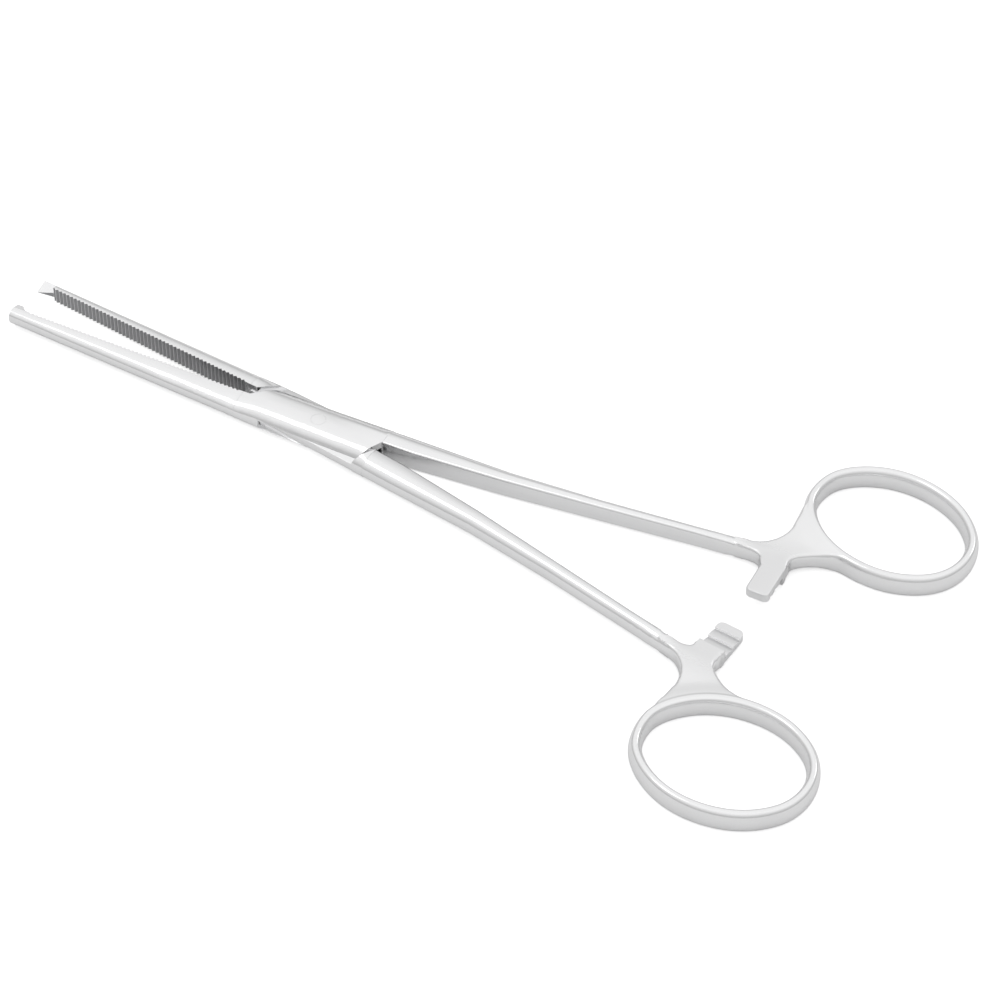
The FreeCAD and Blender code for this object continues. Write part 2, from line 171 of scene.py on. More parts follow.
@dataclass(frozen=True)
class Steel:
    """A stainless steel surface, from mirror polish to fresh grinding marks; on the serrated jaw its base
    colour also carries painted shade.

    Attributes:
        name: Name of the material.
        colour: Its base colour.
        roughness: The middle of its roughness.
        spread: How far the grain moves the roughness up and down.
        grain: Its fine marks.
        grain_depth: How deep they are.
        edge_round: The radius that its edges seem to have.
        crown_span: Half width of the domed face about the pivot, or 0 where the mesh has the crown layer.
    """

    name: str
    colour: Triple
    roughness: float
    spread: float
    grain: Grain
    grain_depth: float
    edge_round: float = 0.12 * MM
    crown_span: float = 0.0

    def material(self) -> bpy.types.Material:
        """Builds the node material.

        Returns:
            The material, with its grain in the frame's own axes.
        """
        material = bpy.data.materials.new(self.name)
        material.use_nodes = True
        tree = material.node_tree
        shader = tree.nodes["Principled BSDF"]
        shader.inputs["Metallic"].default_value = 1.0
        shader.inputs["Specular IOR Level"].default_value = 0.5
        worn = add_node(tree, "ShaderNodeAttribute", settings={"attribute_name": SATIN_LAYER})
        satin = worn.outputs["Fac"]
        grain = self.grain.add(tree)
        tree.links.new(self.dulled(tree, grain, satin), shader.inputs["Roughness"])
        tree.links.new(self.tinted(tree, satin), shader.inputs["Base Color"])
        tree.links.new(self.marked(tree, grain, satin), shader.inputs["Normal"])
        return material

    def dulled(self, tree: Tree, grain: Socket, satin: Socket) -> Socket:
        """Roughness that follows the grain and rises on the satin parts.

        Args:
            tree: The material's node tree.
            grain: The fine marks.
            satin: How satin the surface is.

        Returns:
            The roughness.
        """
        ends = {
            "From Min": GRAIN_ENDS[0],
            "From Max": GRAIN_ENDS[1],
            "To Min": self.roughness - self.spread,
            "To Max": self.roughness + self.spread,
        }
        tone = add_node(tree, "ShaderNodeMapRange", values=ends, links={"Value": grain})
        rough = add_node(tree, "ShaderNodeMath", settings={"operation": "MULTIPLY_ADD"},
                         values={1: SATIN_ROUGHNESS}, links={0: satin, 2: tone.outputs["Result"]})
        return rough.outputs["Value"]

    def shade(self, share: float) -> tuple[float, ...]:
        """The base colour darkened to a share, opaque."""
        return (*[channel * share for channel in self.colour], 1.0)

    def tinted(self, tree: Tree, satin: Socket) -> Socket:
        """Base colour, faintly clouded and greyer on the satin parts.

        Args:
            tree: The material's node tree.
            satin: How satin the surface is.

        Returns:
            The colour.
        """
        mix = {"data_type": "RGBA"}
        clouded = add_node(tree, "ShaderNodeMix", settings=mix,
                           values={MIX_FIRST: self.shade(1.0), MIX_SECOND: self.shade(CLOUD_SHADE)},
                           links={MIX_FACTOR: CLOUDS.add(tree)})
        greyed = add_node(tree, "ShaderNodeMix", settings=mix,
                          values={MIX_SECOND: self.shade(SATIN_SHADE)},
                          links={MIX_FACTOR: satin, MIX_FIRST: clouded.outputs[MIX_RESULT]})
        return greyed.outputs[MIX_RESULT]

    def marked(self, tree: Tree, grain: Socket, satin: Socket) -> Socket:
        """Normal with softened edges, a domed lean, the grain and the satin scratches.

        Args:
            tree: The material's node tree.
            grain: The fine marks.
            satin: How satin the surface is.

        Returns:
            The normal.
        """
        rounding = add_node(tree, "ShaderNodeBevel", settings={"samples": ROUNDING_SAMPLES},
                            values={"Radius": self.edge_round})
        domed = self.crowned(tree, rounding.outputs["Normal"])
        fine = add_node(tree, "ShaderNodeBump",
                        values={"Strength": GRAIN_STRENGTH, "Distance": self.grain_depth},
                        links={"Height": grain, "Normal": domed})
        depth = add_node(tree, "ShaderNodeMath", settings={"operation": "MULTIPLY"},
                         links={0: SCRATCHES.add(tree), 1: satin})
        brushed = add_node(tree, "ShaderNodeBump",
                           values={"Strength": SATIN_STRENGTH, "Distance": SATIN_DEPTH},
                           links={"Height": depth.outputs["Value"], "Normal": fine.outputs["Normal"]})
        return brushed.outputs["Normal"]

    def crowned(self, tree: Tree, normal: Socket) -> Socket:
        """Leans the normals outwards across the width, as on a slightly domed forging.

        Args:
            tree: The material's node tree.
            normal: The normal to lean.

        Returns:
            The leaning normal.
        """
        if self.crown_span:
            place = add_node(tree, "ShaderNodeTexCoord").outputs["Object"]
            lean = add_node(tree, "ShaderNodeVectorMath", settings={"operation": "MULTIPLY"},
                            values={1: (0.0, CROWN / self.crown_span, 0.0)}, links={0: place})
        else:
            lean = add_node(tree, "ShaderNodeAttribute", settings={"attribute_name": CROWN_LAYER})
        turning = {"vector_type": "VECTOR", "convert_from": "OBJECT", "convert_to": "WORLD"}
        world = add_node(tree, "ShaderNodeVectorTransform", settings=turning,
                         links={"Vector": lean.outputs["Vector"]})
        total = add_node(tree, "ShaderNodeVectorMath", settings={"operation": "ADD"},
                         links={0: normal, 1: world.outputs["Vector"]})
        unit = add_node(tree, "ShaderNodeVectorMath", settings={"operation": "NORMALIZE"},
                        links={0: total.outputs["Vector"]})
        return unit.outputs["Vector"]


POLISHED = Steel("polished_steel", (0.95, 0.95, 0.955), 0.17, 0.03, POLISH_MARKS, 0.004 * MM)
PIN = replace(POLISHED, name="pin_steel", crown_span=4.8 * MM)
# Ground steel of the serrated face: rougher, with grinding marks, and its base colour darkened as painted
# shade in the grooves
GROUND_WITH_PAINTED_SHADE = Steel("ground_steel_painted_shade", (0.80, 0.80, 0.81), 0.34, 0.05, GRINDING_MARKS, 0.006 * MM, 0.02 * MM)
# Painted shade: the groove flanks that face the box are painted dark, standing in for the shaded side of
# each groove
PAINTED_SHADE_FLANK = Steel("painted_shade_flank_steel", (0.40, 0.40, 0.41), 0.38, 0.05, GRINDING_MARKS, 0.006 * MM, 0.02 * MM)
# Materials of a half: polished steel, ground steel with painted groove shade, and the painted flank shade
HALF_STEELS_AND_PAINTED_SHADES = (POLISHED, GROUND_WITH_PAINTED_SHADE, PAINTED_SHADE_FLANK)


def mesh_of(bm: bmesh.types.BMesh, name: str) -> bpy.types.Mesh:
    """Writes a bmesh to a new mesh and frees it.

    Args:
        bm: The bmesh.
        name: Name of the mesh.

    Returns:
        The mesh.
    """
    mesh = bpy.data.meshes.new(name)
    bm.to_mesh(mesh)
    bm.free()
    return mesh


def gathered(parts: Iterable[bmesh.types.BMesh]) -> bmesh.types.BMesh:
    """Puts several meshes into one, not yet joined.

    Args:
        parts: The meshes, which are freed.

    Returns:
        All of them in one.
    """
    whole = bmesh.new()
    for part in parts:
        mesh = mesh_of(part, "part")
        whole.from_mesh(mesh)
        bpy.data.meshes.remove(mesh)
    return whole


def linked(name: str, data: bpy.types.ID) -> bpy.types.Object:
    """A new object in the scene.

    Args:
        name: Its name.
        data: Its mesh, lamp or camera.

    Returns:
        The object.
    """
    thing = bpy.data.objects.new(name, data)
    bpy.context.scene.collection.objects.link(thing)
    return thing


@dataclass
class Outline:
    """A plan outline drawn vertex by vertex, lines and arcs, in a bmesh of its own."""

    start: Point
    arc_steps: int = 10
    bm: bmesh.types.BMesh = field(init=False)
    last: bmesh.types.BMVert = field(init=False)
    first: bmesh.types.BMVert = field(init=False)

    def __post_init__(self) -> None:
        """Puts the first vertex down."""
        self.bm = bmesh.new()
        self.first = self.bm.verts.new((*self.start, 0.0))
        self.last = self.first

    def line_to(self, end: Point) -> None:
        """Draws a straight edge to the end point."""
        vert = self.bm.verts.new((*end, 0.0))
        self.bm.edges.new((self.last, vert))
        self.last = vert

    def arc_to(self, middle: Point, end: Point) -> None:
        """Spins the last vertex through the middle point to the end point.

        Args:
            middle: A point on the way.
            end: Where the arc stops.
        """
        a, b, c = Vector(self.last.co.xy), Vector(middle), Vector(end)
        double = 2 * (a.x * (b.y - c.y) + b.x * (c.y - a.y) + c.x * (a.y - b.y))
        across = a.dot(a) * (b.y - c.y) + b.dot(b) * (c.y - a.y) + c.dot(c) * (a.y - b.y)
        upward = a.dot(a) * (c.x - b.x) + b.dot(b) * (a.x - c.x) + c.dot(c) * (b.x - a.x)
        centre = Vector((across / double, upward / double))
        first, last = a - centre, c - centre
        angle = (math.atan2(last.y, last.x) - math.atan2(first.y, first.x)) % (2 * math.pi)
        if (b - a).cross(c - b) <= 0:
            angle -= 2 * math.pi
        spun = bmesh.ops.spin(self.bm, geom=[self.last], cent=(*centre, 0.0), axis=UP, dvec=(0, 0, 0),
                              angle=angle, steps=self.arc_steps, use_duplicate=False)
        self.last = [g for g in spun["geom_last"] if isinstance(g, bmesh.types.BMVert)][0]

    def plate(self, half_height: float) -> bmesh.types.BMesh:
        """Closes the outline and raises it to a plate about the level plane.

        Args:
            half_height: Half the plate's thickness.

        Returns:
            The closed plate.
        """
        self.bm.edges.new((self.last, self.first))
        face = bmesh.ops.edgeloop_fill(self.bm, edges=self.bm.edges[:])["faces"]
        bmesh.ops.translate(self.bm, verts=self.bm.verts, vec=(0, 0, -half_height))
        raised = bmesh.ops.extrude_face_region(self.bm, geom=face, use_keep_orig=True)
        moved = [g for g in raised["geom"] if isinstance(g, bmesh.types.BMVert)]
        bmesh.ops.translate(self.bm, verts=moved, vec=(0, 0, 2 * half_height))
        bmesh.ops.recalc_face_normals(self.bm, faces=self.bm.faces)
        return self.bm


@dataclass(frozen=True)
class WebPlan:
    """Plan of the flat junction of shank, ring and arm, in the half's own millimetres.

    Attributes:
        shank: Its outer and inner corner on the shank.
        neck: Where its outer side leaves the shank, and the middle and end of its curve to the ring.
        heel: The corners that lie in the ring's band.
        opening: Middle and end of the curve along the finger opening.
        toe: The corners in the lower limb of the ring.
        under: Middle and end of the curve back under the ring.
        armpit: Middle and end of the small curve to the arm.
        arm: The corners in the arm.
        crook: Middle and end of the curve between arm and shank.
        half_height: Half its thickness.
    """

    shank: tuple[Point, Point] = ((86.0, 10.4), (86.0, 8.2))
    neck: tuple[Point, Point, Point] = ((88.5, 10.9), (92.2, 13.4), (93.9, 17.5))
    heel: tuple[Point, Point, Point] = ((93.5, 23.6), (94.0, 26.5), (94.7, 26.5))
    opening: tuple[Point, Point] = ((98.2, 20.1), (106.5, 15.0))
    toe: tuple[Point, Point] = ((109.5, 14.6), (109.5, 13.7))
    under: tuple[Point, Point] = ((101.3, 12.7), (98.3, 10.7))
    armpit: tuple[Point, Point] = ((97.6, 9.7), (97.4, 8.2))
    arm: tuple[Point, Point] = ((97.4, 6.4), (93.0, 6.4))
    crook: tuple[Point, Point] = ((91.8, 7.7), (89.6, 8.5))
    half_height: float = 1.9

    def build(self) -> bmesh.types.BMesh:
        """Draws the plan and raises it.

        Returns:
            The closed plate.
        """
        plan = Outline(self.shank[0])
        plan.line_to(self.neck[0])
        plan.arc_to(self.neck[1], self.neck[2])
        for corner in self.heel:
            plan.line_to(corner)
        plan.arc_to(*self.opening)
        for corner in self.toe:
            plan.line_to(corner)
        plan.arc_to(*self.under)
        plan.arc_to(*self.armpit)
        for corner in self.arm:
            plan.line_to(corner)
        plan.arc_to(*self.crook)
        plan.line_to(self.shank[1])
        return plan.plate(self.half_height)


@dataclass
class FingerRing:
    """The egg-shaped finger ring, an upright oval spun along tangent arcs.

    Attributes:
        centre: Its centre in plan.
        turn: How far its long axis is turned, in degrees.
        long: Half its length.
        wide: Half its width.
        egg: How much blunter one end is.
        shift: How far the blunter end is drawn out.
        half_width: Half the width of the band in plan.
        half_height: Half the height of the oval before it is dressed flat.
        angles: Where along the egg the arcs start, in degrees.
        segments: Corners of the oval.
        step: Turn between two ovals.
        weld: Distance under which vertices are one.
    """

    centre: Point = (106.03, 28.06)
    turn: float = -10.64
    long: float = 16.2
    wide: float = 10.53
    egg: float = 0.818
    shift: float = 4.69
    half_width: float = 1.33
    half_height: float = 2.8
    angles: tuple[int, ...] = (0, 50, 105, 138, 222, 255, 310)
    segments: int = 24
    step: float = math.radians(4.0)
    weld: float = 0.02

    def point(self, angle: float) -> tuple[Vector, Vector]:
        """A point of the centre line and its direction.

        Args:
            angle: The place along the egg, in degrees.

        Returns:
            The point and the unit direction.
        """
        a = math.radians(angle)
        spin = Matrix.Rotation(math.radians(self.turn), 3, "Z")
        at = Vector((self.long * math.cos(a) + self.shift * math.cos(2 * a),
                     self.wide * math.sin(a) * (1 + self.egg * math.cos(a)), 0.0))
        along = Vector((-self.long * math.sin(a) - 2 * self.shift * math.sin(2 * a),
                        self.wide * (math.cos(a) + self.egg * math.cos(2 * a)), 0.0))
        return Vector((*self.centre, 0.0)) + spin @ at, (spin @ along).normalized()

    @staticmethod
    def arc_centre(start: Vector, along: Vector, end: Vector) -> Vector:
        """Centre of the arc that leaves one point along a direction and meets another.

        Args:
            start: The point that it leaves.
            along: The direction there.
            end: The point that it meets.

        Returns:
            The centre.
        """
        side = Vector((-along.y, along.x, 0.0))
        chord = end - start
        return start + side * (chord.dot(chord) / (2 * side.dot(chord)))

    def arcs(self) -> Iterable[tuple[Vector, Vector, Vector]]:
        """Two tangent arcs for each stretch.

        Yields:
            Start, end and centre of each arc.
        """
        for i, angle in enumerate(self.angles):
            p0, t0 = self.point(angle)
            p1, t1 = self.point(self.angles[(i + 1) % len(self.angles)])
            chord = p1 - p0
            total = chord.dot(t0 + t1)
            bend = 2 * (1 - t0.dot(t1))
            reach = (math.sqrt(total * total + bend * chord.dot(chord)) - total) / bend
            joint = (p0 + p1 + (t0 - t1) * reach) * 0.5
            yield p0, joint, self.arc_centre(p0, t0, joint)
            yield joint, p1, self.arc_centre(p1, t1, joint)

    def build(self) -> bmesh.types.BMesh:
        """Spins the oval round all the arcs.

        Returns:
            The closed ring.
        """
        bm = bmesh.new()
        start, _, centre = next(iter(self.arcs()))
        spoke = (start - centre).normalized()
        bmesh.ops.create_circle(bm, cap_ends=False, radius=1.0, segments=self.segments)
        upright = Matrix((
            (spoke.x * self.half_width, 0.0, -spoke.y, start.x),
            (spoke.y * self.half_width, 0.0, spoke.x, start.y),
            (0.0, self.half_height, 0.0, 0.0),
            (0.0, 0.0, 0.0, 1.0),
        ))
        bmesh.ops.transform(bm, matrix=upright, verts=bm.verts)
        edge_ring = bm.edges[:]
        for first, last, middle in self.arcs():
            sweep = (math.atan2(last.y - middle.y, last.x - middle.x)
                     - math.atan2(first.y - middle.y, first.x - middle.x)) % (2 * math.pi)
            spun = bmesh.ops.spin(bm, geom=edge_ring, cent=middle, axis=UP, dvec=(0, 0, 0),
                                  angle=sweep, steps=max(2, round(sweep / self.step)), use_duplicate=False)
            edge_ring = [g for g in spun["geom_last"] if isinstance(g, bmesh.types.BMEdge)]
        bmesh.ops.remove_doubles(bm, verts=bm.verts, dist=self.weld)
        bmesh.ops.recalc_face_normals(bm, faces=bm.faces)
        return bm


@dataclass(frozen=True)
class WebLift:
    """How the flat web rises to the crest of the ring.

    Attributes:
        height: How far it rises at the ring's centre line.
        reach: How far from the centre line the rise starts.
        middle: Middle of the part that may rise.
        radius: Radius of the part that may rise.
        least_level: How level a surface must be to rise, as the height of its normal.
        skin: How far under the web's own face a vertex may lie and still rise.
        line_step: Degrees between the points that stand for the centre line.
    """

    height: float = 0.5
    reach: float = 4.5
    middle: Point = (97.0, 16.0)
    radius: float = 13.0
    least_level: float = 0.6
    skin: float = 0.3
    line_step: int = 2

    def apply(self, bm: bmesh.types.BMesh, ring: FingerRing, face_height: float) -> None:
        """Lifts the vertices of both faces of the web.

        Args:
            bm: The handle.
            ring: The finger ring that the web runs into.
            face_height: Height of the web's faces over its middle plane.
        """
        line = [ring.point(angle)[0] for angle in range(0, 360, self.line_step)]
        tree = KDTree(len(line))
        for i, point in enumerate(line):
            tree.insert(point, i)
        tree.balance()
        bm.normal_update()
        for vert in bm.verts:
            flat = Vector((vert.co.x, vert.co.y, 0.0))
            aside = (flat.xy - Vector(self.middle)).length >= self.radius
            if aside or abs(vert.normal.z) < self.least_level or abs(vert.co.z) <= face_height - self.skin:
                continue
            near = max(0.0, 1.0 - tree.find(flat)[2] / self.reach)
            eased = near * near * (3 - 2 * near)
            vert.co.z = math.copysign(max(abs(vert.co.z), face_height + eased * self.height), vert.co.z)


@dataclass(frozen=True)
class FinishAndPaintedShade:
    """Where on a half each finish and the painted groove shade lie, in its own millimetres.

    Attributes:
        jaw_end: Right end of the serrated face.
        facing: How squarely a serrated surface faces the other jaw, at least.
        upright: How level it may be, at most.
        flank: How far a groove's flank must face the box, at least, to take the darker painted shade.
        satin_along: Where the satin starts along the shank, and where it is full.
        satin_across: Where the satin starts below the ring, and where it is full.
        satin_level: How level a surface must be for the satin to start and to be full.
        arm_top: Under this, the whole arm is satin.
        middle_line: Place, centre and half width of box and shank, for the domed look.
        fade_in: Length over which the domed look starts.
        fade_out: Length over which it ends.
    """

    jaw_end: float = -17.5
    facing: float = 0.3
    upright: float = 0.5
    flank: float = 0.25
    satin_along: Point = (86.0, 90.0)
    satin_across: Point = (15.0, 9.0)
    satin_level: Point = (8 / 15, 13 / 15)
    arm_top: float = 7.5
    middle_line: tuple[Triple, ...] = (
        (-17.0, 0.1, 4.65), (2.0, 0.2, 4.8), (13.6, 0.3, 5.0), (14.2, 2.83, 2.57), (20.7, 3.05, 2.55),
        (39.8, 4.16, 1.86), (59.0, 6.21, 1.48), (78.2, 8.59, 1.36), (90.0, 10.02, 1.5),
    )
    fade_in: float = 5.0
    fade_out: float = 8.0

    def sideways(self, x: float, y: float) -> float:
        """How far across the box or shank a point lies.

        Args:
            x: The point's place along the half.
            y: Its place across.

        Returns:
            A share from -1 to 1, which fades out at both ends.
        """
        rows = self.middle_line
        left, right = rows[0][0], rows[-1][0]
        if not left < x < right:
            return 0.0
        (x0, c0, h0), (x1, c1, h1) = next(pair for pair in zip(rows, rows[1:]) if x <= pair[1][0])
        share = (x - x0) / (x1 - x0)
        centre = c0 + (c1 - c0) * share
        half = h0 + (h1 - h0) * share
        fade = min(1.0, (x - left) / self.fade_in, (right - x) / self.fade_out)
        return fade * max(-1.0, min(1.0, (y - centre) / half))

    def steel_or_painted_shade_of(self, face: bmesh.types.BMFace) -> Steel:
        """The steel of one face, with its painted shade on the serrated jaw.

        Args:
            face: A face in the half's own millimetres.

        Returns:
            Ground steel with painted groove shade on the serrated face, the darker painted shade on flanks
            that face the box, else polished.
        """
        serrated = (face.calc_center_median().x < self.jaw_end and face.normal.y > self.facing
                    and abs(face.normal.z) < self.upright)
        if not serrated:
            return POLISHED
        # Flanks that face the box take the darker painted shade; the rest of the serrated face is ground
        # steel with painted groove shade
        return PAINTED_SHADE_FLANK if face.normal.x > self.flank else GROUND_WITH_PAINTED_SHADE

    def satin_of(self, vert: bmesh.types.BMVert) -> float:
        """How satin one vertex is, from 0 to 1."""
        level = 1.0 if vert.co.y < self.arm_top else ramp(abs(vert.normal.z), *self.satin_level)
        return ramp(vert.co.x, *self.satin_along) * ramp(vert.co.y, *self.satin_across) * level

    def apply(self, bm: bmesh.types.BMesh, outwards: Vector) -> None:
        """Gives the faces their steel or painted shade and the vertices their layers.

        Args:
            bm: The half in its own millimetres.
            outwards: The half's own +Y in the frame.
        """
        for face in bm.faces:
            face.material_index = HALF_STEELS_AND_PAINTED_SHADES.index(self.steel_or_painted_shade_of(face))
        crown = bm.verts.layers.float_vector.new(CROWN_LAYER)
        satin = bm.verts.layers.float.new(SATIN_LAYER)
        for vert in bm.verts:
            vert[crown] = outwards * (CROWN * self.sideways(vert.co.x, vert.co.y))
            vert[satin] = self.satin_of(vert)


@dataclass
class DressedHalf:
    """One half of the forceps: jaw, box part and shank from the frame, handle blended anew.

    Attributes:
        half: Which half it is.
        opening: Degrees from closed jaws to the photograph.
        pivot_height: Height of the middle plane over the floor.
        weld: Distance under which vertices of the node are one, in metres.
        shank_cut: Where the node's shank ends and the handle starts.
        stub_start: Left end of the shank piece that is melted into the handle.
        stub_end: Its right end in the node.
        stub_draw: How far it is drawn on into the web.
        arm_cut: Where the node's arm ends and the handle starts.
        arm_root: How far up the arm goes into the handle.
        tip_zone: Under this, the arm is drawn back to the shown tip.
        voxel: Fineness of the melted skin.
        seam: Width of the bridges between node and handle.
        still: Length of the handle beside the shank's bridge that isn't smoothed.
        smooth_rounds: Smoothing before the web is lifted.
        lift_rounds: Smoothing after it.
        lift_start: Left end of the part smoothed after it.
        crisp: Degrees over which an edge of the node stays sharp.
        crisp_handle: The same for the handle.
        plate: The web.
        ring: The finger ring.
        lift: How the web rises to the ring.
        finish: Where each finish and the painted groove shade lie.
    """

    half: Half
    opening: float = 3.3
    pivot_height: float = 2.5
    weld: float = 0.001 * MM
    shank_cut: float = 84.0
    stub_start: float = 70.0
    stub_end: float = 86.0
    stub_draw: Triple = (8.0, 1.2, 0.0)
    arm_cut: float = 7.0
    arm_root: float = 8.6
    tip_zone: float = 1.0
    voxel: float = 0.24
    seam: float = 0.35
    still: float = 1.0
    smooth_rounds: int = 30
    lift_rounds: int = 6
    lift_start: float = 88.0
    crisp: float = 30.0
    crisp_handle: float = 50.0
    plate: WebPlan = field(default_factory=WebPlan)
    ring: FingerRing = field(default_factory=FingerRing)
    lift: WebLift = field(default_factory=WebLift)
    finish: FinishAndPaintedShade = field(default_factory=FinishAndPaintedShade)

    def to_frame(self) -> Matrix:
        """The way from the half's own millimetres, jaws closed, to the frame.

        Returns:
            The transform.
        """
        scale = Matrix.Diagonal((MM, self.half.side * MM, MM, 1.0))
        turn = Matrix.Rotation(math.radians(self.half.side * self.opening), 4, "Z")
        return Matrix.Translation((0.0, 0.0, self.pivot_height * MM)) @ turn @ scale

    def cad_copy(self) -> bmesh.types.BMesh:
        """Copies the node, with its vertices merged.

        Returns:
            The copy in the half's own millimetres.
        """
        bm = bmesh.new()
        bm.from_mesh(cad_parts[self.half.node].data)
        bmesh.ops.remove_doubles(bm, verts=bm.verts, dist=self.weld)
        bmesh.ops.transform(bm, matrix=self.to_frame().inverted(), verts=bm.verts)
        if self.half.side < 0:
            bmesh.ops.reverse_faces(bm, faces=bm.faces)
        return bm

    @staticmethod
    def cut(bm: bmesh.types.BMesh, at: Sequence[float], away: Sequence[float]) -> None:
        """Cuts off everything beyond a plane and leaves the cut open.

        Args:
            bm: The mesh to cut.
            at: A point of the plane.
            away: The direction that is taken off.
        """
        geom = bm.verts[:] + bm.edges[:] + bm.faces[:]
        bmesh.ops.bisect_plane(bm, geom=geom, dist=0.0005, plane_co=at, plane_no=away, clear_outer=True)

    @staticmethod
    def close(bm: bmesh.types.BMesh) -> None:
        """Fills the open rims."""
        bmesh.ops.edgeloop_fill(bm, edges=[e for e in bm.edges if e.is_boundary])

    def front(self) -> bmesh.types.BMesh:
        """Jaw, box part and shank, up to the handle.

        Returns:
            The front, open where the handle starts.
        """
        bm = self.cad_copy()
        self.cut(bm, (self.shank_cut, 0, 0), (1, 0, 0))
        return bm

    def arm(self, root: float) -> bmesh.types.BMesh:
        """The ratchet arm with its teeth, its tip drawn back to where the photograph shows it.

        Args:
            root: How far up the arm goes.

        Returns:
            The arm, open at its root.
        """
        bm = self.cad_copy()
        self.cut(bm, (0, root, 0), (0, 1, 0))
        self.cut(bm, (self.stub_end, 0, 0), (-1, 0, 0))
        share = (self.tip_zone - self.half.shown_tip) / (self.tip_zone - self.half.tip)
        for vert in bm.verts:
            if vert.co.y < self.tip_zone:
                vert.co.y = self.tip_zone - (self.tip_zone - vert.co.y) * share
        return bm

    def stub(self) -> bmesh.types.BMesh:
        """The end of the shank, drawn on into the web.

        Returns:
            The closed piece.
        """
        bm = self.cad_copy()
        self.cut(bm, (self.stub_start, 0, 0), (-1, 0, 0))
        self.close(bm)
        self.cut(bm, (self.stub_end, 0, 0), (1, 0, 0))
        self.close(bm)
        cap = max(bm.faces, key=lambda f: f.calc_center_median().x)
        drawn = bmesh.ops.extrude_face_region(bm, geom=[cap])
        verts = [g for g in drawn["geom"] if isinstance(g, bmesh.types.BMVert)]
        bmesh.ops.delete(bm, geom=[cap], context="FACES_ONLY")
        bmesh.ops.translate(bm, verts=verts, vec=self.stub_draw)
        return bm

    def melted(self, solid: bmesh.types.BMesh) -> bmesh.types.BMesh:
        """One closed skin round overlapping forms.

        Args:
            solid: The forms.

        Returns:
            Their skin, in even cells.
        """
        rough = linked("handle_rough", mesh_of(solid, "handle_rough"))
        melt = rough.modifiers.new("melt", "REMESH")
        melt.mode = "VOXEL"
        melt.voxel_size = self.voxel
        graph = bpy.context.evaluated_depsgraph_get()
        skin = bpy.data.meshes.new_from_object(rough.evaluated_get(graph))
        bm = bmesh.new()
        bm.from_mesh(skin)
        source = rough.data
        bpy.data.objects.remove(rough)
        for mesh in (source, skin):
            bpy.data.meshes.remove(mesh)
        return bm

    @staticmethod
    def smooth(bm: bmesh.types.BMesh, verts: list[bmesh.types.BMVert], rounds: int) -> None:
        """Draws vertices towards their neighbours, round after round.

        Args:
            bm: The mesh.
            verts: The vertices to move.
            rounds: How often.
        """
        for _ in range(rounds):
            bmesh.ops.smooth_vert(bm, verts=verts, factor=0.5,
                                  use_axis_x=True, use_axis_y=True, use_axis_z=True)

    def handle(self) -> bmesh.types.BMesh:
        """Ring, web, shank end and arm root melted into one smooth form.

        Returns:
            The blended handle in the half's own millimetres, open towards shank and arm.
        """
        root = self.arm(self.arm_root)
        self.close(root)
        bm = self.melted(gathered((self.ring.build(), self.plate.build(), self.stub(), root)))
        arm_end = self.arm_cut + self.seam
        self.cut(bm, (self.shank_cut + self.seam, 0, 0), (-1, 0, 0))
        self.cut(bm, (0, arm_end, 0), (0, -1, 0))
        soft = [v for v in bm.verts if v.co.x > self.shank_cut + self.still
                and v.co.y > arm_end and not v.is_boundary]
        self.smooth(bm, soft, self.smooth_rounds)
        self.lift.apply(bm, self.ring, self.plate.half_height)
        self.smooth(bm, [v for v in soft if v.co.x > self.lift_start], self.lift_rounds)
        limit = self.pivot_height
        for vert in bm.verts:
            vert.co.z = max(-limit, min(limit, vert.co.z))
        return bm

    @staticmethod
    def mark_edges(bm: bmesh.types.BMesh, degrees: float) -> bmesh.types.BMesh:
        """Shades the faces smooth and keeps the edges sharp where they meet steeply.

        Args:
            bm: The mesh.
            degrees: How steeply faces meet at a sharp edge, at least.

        Returns:
            The same mesh.
        """
        for face in bm.faces:
            face.smooth = True
        for edge in bm.edges:
            edge.smooth = edge.is_manifold and edge.calc_face_angle(0.0) < math.radians(degrees)
        return bm

    def bridge(self, bm: bmesh.types.BMesh) -> None:
        """Joins the handle to the shank and to the arm.

        Args:
            bm: The front, the arm and the handle in one mesh.
        """
        rims = [e for e in bm.edges if e.is_boundary]
        border = self.shank_cut + 2 * self.seam
        at_shank = [e for e in rims if e.verts[0].co.x < border]
        at_arm = [e for e in rims if e.verts[0].co.x > border]
        for pair in (at_shank, at_arm):
            for face in bmesh.ops.bridge_loops(bm, edges=pair)["faces"]:
                face.smooth = True
            for edge in pair:
                edge.smooth = True
        bm.normal_update()

    def build(self) -> bpy.types.Object:
        """Joins the parts, dresses them and sets them on the frame.

        Returns:
            The finished piece.
        """
        whole = gathered((
            self.mark_edges(self.front(), self.crisp),
            self.mark_edges(self.arm(self.arm_cut), self.crisp),
            self.mark_edges(self.handle(), self.crisp_handle),
        ))
        self.bridge(whole)
        outwards = (self.to_frame().to_3x3() @ Vector((0.0, 1.0, 0.0))).normalized()
        self.finish.apply(whole, outwards)
        bmesh.ops.transform(whole, matrix=self.to_frame(), verts=whole.verts)
        if self.half.side < 0:
            bmesh.ops.reverse_faces(whole, faces=whole.faces)
        piece = linked(self.half.node + "_dressed", mesh_of(whole, self.half.node))
        for steel in HALF_STEELS_AND_PAINTED_SHADES:
            found = bpy.data.materials.get(steel.name)
            piece.data.materials.append(found or steel.material())
        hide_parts(self.half.node)
        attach(piece, self.half.body)
        LOG.info("%s: %d faces", piece.name, len(piece.data.polygons))
        return piece


@dataclass
class PivotPin:
    """The flush rivet of the box lock, kept from the frame."""

    node: str = "pivot_pin"

    def dress(self) -> None:
        """Gives the pin the polish of the halves."""
        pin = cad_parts[self.node]
        pin.data.materials.clear()
        pin.data.materials.append(PIN.material())
        LOG.info("%s: polished", self.node)


